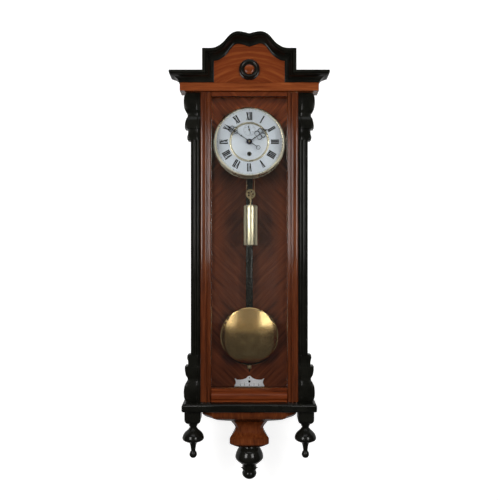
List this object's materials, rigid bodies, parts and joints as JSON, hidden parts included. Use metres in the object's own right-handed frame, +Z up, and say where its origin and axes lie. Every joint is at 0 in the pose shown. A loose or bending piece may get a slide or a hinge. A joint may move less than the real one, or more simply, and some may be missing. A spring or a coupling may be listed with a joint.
{
  "type": "vienna regulator clock",
  "caption": "Tall glazed wall clock with an arched crest, reeded side posts, turned drops, a two-piece enamel dial, a brass weight on a pulley and a disc-bob pendulum.",
  "frame": {"origin": "rear face of the backboard, on the centre line, level with the middle of the door", "axes": "+Z up, +X to the viewer's right seen from the front, +Y into the wall"},
  "size_m": [0.3996, 0.2143, 1.1475],
  "materials": {
    "walnut": "french-polished walnut veneer",
    "dark_walnut": "dark quartered walnut veneer, satin",
    "ebonised": "ebonised hardwood, semi-gloss",
    "pine": "plain planed pine",
    "glass": "clear sheet glass",
    "enamel": "white vitreous enamel",
    "brass": "lacquered brass",
    "polished_brass": "polished and spun brass",
    "cast_iron": "black painted iron",
    "steel": "polished steel",
    "blued_steel": "dark blued steel",
    "lead": "cast lead filling",
    "gut": "twisted gut line"
  },
  "bodies": {
    "case": {"backboard": "dark_walnut", "side_frame_left": "walnut", "side_frame_right": "walnut", "side_glass_left": "glass", "side_glass_right": "glass", "top_board": "pine", "frieze_board": "walnut", "crest_board": "walnut", "crown_moulding": "ebonised", "crest_roundel_ring": "ebonised", "crest_roundel_boss": "walnut", "pilaster_left": "ebonised", "pilaster_right": "ebonised", "upper_bracket_left": "ebonised", "upper_bracket_right": "ebonised", "lower_bracket_left": "ebonised", "lower_bracket_right": "ebonised", "base_board": "ebonised", "drop_bracket": "walnut", "centre_finial": "ebonised", "side_finial_left": "ebonised", "side_finial_right": "ebonised", "beat_scale": "enamel", "hanger_plate": "steel", "movement_bracket": "cast_iron", "back_plate": "brass", "front_plate": "brass", "dial_plate": "brass", "chapter_ring": "enamel", "dial_inner_ring": "polished_brass", "dial_centre": "enamel", "dial_bezel": "polished_brass", "weight_line": "gut"},
    "door": {"door_stile_left": "walnut", "door_stile_right": "walnut", "door_top_rail": "walnut", "door_bottom_rail": "walnut", "door_glass": "glass", "door_pivot_top": "brass", "door_pivot_foot": "brass"},
    "minute_arbor": {"centre_wheel": "brass", "minute_hand": "blued_steel"},
    "hour_pipe": {"hour_wheel": "brass", "hour_hand": "blued_steel"},
    "motion_wheel": {"minute_wheel": "brass"},
    "great": {"great_wheel": "brass"},
    "third": {"third_wheel": "brass"},
    "escape": {"escape_wheel": "brass", "seconds_hand": "blued_steel"},
    "winding_drum": {"drum": "brass"},
    "click_lever": {"click": "steel"},
    "crutch": {"anchor": "steel"},
    "pendulum": {"pendulum_hanger": "brass", "pendulum_rod": "ebonised"},
    "bob": {"pendulum_bob": "polished_brass"},
    "nut": {"rating_nut": "brass"},
    "weight": {"weight_shell": "polished_brass", "weight_core": "lead", "pulley_stirrup": "brass"},
    "pulley": {"pulley_wheel": "brass"}
  },
  "joints": [
    {"name": "door_hinge", "type": "hinge", "parent": "case", "child": "door", "pos_m": [0.12, -0.175, 0], "axis": [0, 0, 1], "range_deg": [0, 105]},
    {"name": "minute_turn", "type": "hinge", "parent": "case", "child": "minute_arbor", "pos_m": [0, -0.09, 0.285], "axis": [0, 1, 0], "continuous": true},
    {"name": "hour_turn", "type": "hinge", "parent": "case", "child": "hour_pipe", "pos_m": [0, -0.09, 0.285], "axis": [0, 1, 0], "continuous": true},
    {"name": "motion_turn", "type": "hinge", "parent": "case", "child": "motion_wheel", "pos_m": [-0.012, -0.09, 0.285], "axis": [0, 1, 0], "continuous": true},
    {"name": "great_turn", "type": "hinge", "parent": "case", "child": "great", "pos_m": [0, -0.09, 0.2535], "axis": [0, 1, 0], "continuous": true},
    {"name": "third_turn", "type": "hinge", "parent": "case", "child": "third", "pos_m": [0.01508, -0.09, 0.30667], "axis": [0, 1, 0], "continuous": true},
    {"name": "escape_turn", "type": "hinge", "parent": "case", "child": "escape", "pos_m": [0, -0.09, 0.3165], "axis": [0, 1, 0], "continuous": true},
    {"name": "weight_fall", "type": "slide", "parent": "case", "child": "weight", "axis": [0, 0, 1], "range_m": [-0.375, 0.02], "deforming": ["weight_line"]},
    {"name": "drum_turn", "type": "hinge", "parent": "case", "child": "winding_drum", "pos_m": [0, -0.09, 0.2535], "axis": [0, 1, 0], "range_deg": [-6150, 330]},
    {"name": "pulley_turn", "type": "hinge", "parent": "weight", "child": "pulley", "pos_m": [0.0035, -0.09, 0.1514], "axis": [0, 1, 0], "range_deg": [-2050, 110]},
    {"name": "click_lift", "type": "hinge", "parent": "great", "child": "click_lever", "pos_m": [-0.0165, -0.09, 0.2535], "axis": [0, 1, 0], "range_deg": [0, 12], "stiffness_Nm_per_rad": 0.001},
    {"name": "pendulum_swing", "type": "hinge", "parent": "case", "child": "pendulum", "pos_m": [0, -0.045, 0.339], "axis": [0, 1, 0], "range_deg": [-2, 2]},
    {"name": "crutch_rock", "type": "hinge", "parent": "case", "child": "crutch", "pos_m": [0, -0.045, 0.339], "axis": [0, 1, 0], "range_deg": [-2, 2]},
    {"name": "bob_slide", "type": "slide", "parent": "pendulum", "child": "bob", "axis": [0, 0, 1], "range_m": [-0.003, 0.003]},
    {"name": "nut_turn", "type": "hinge", "parent": "bob", "child": "nut", "pos_m": [0, -0.045, -0.32], "axis": [0, 0, 1], "range_deg": [-1080, 1080]}
  ],
  "couplings": [
    {"joint": "hour_turn", "follows": "minute_turn", "ratio": 0.083333},
    {"joint": "motion_turn", "follows": "minute_turn", "ratio": -0.33333},
    {"joint": "great_turn", "follows": "minute_turn", "ratio": -0.083333},
    {"joint": "third_turn", "follows": "minute_turn", "ratio": -10},
    {"joint": "escape_turn", "follows": "minute_turn", "ratio": 80},
    {"joint": "drum_turn", "follows": "weight_fall", "rad_per_m": 285.71},
    {"joint": "pulley_turn", "follows": "weight_fall", "rad_per_m": 95.238},
    {"joint": "crutch_rock", "follows": "pendulum_swing", "ratio": 1},
    {"joint": "nut_turn", "follows": "bob_slide", "rad_per_m": 6283.2}
  ]
}
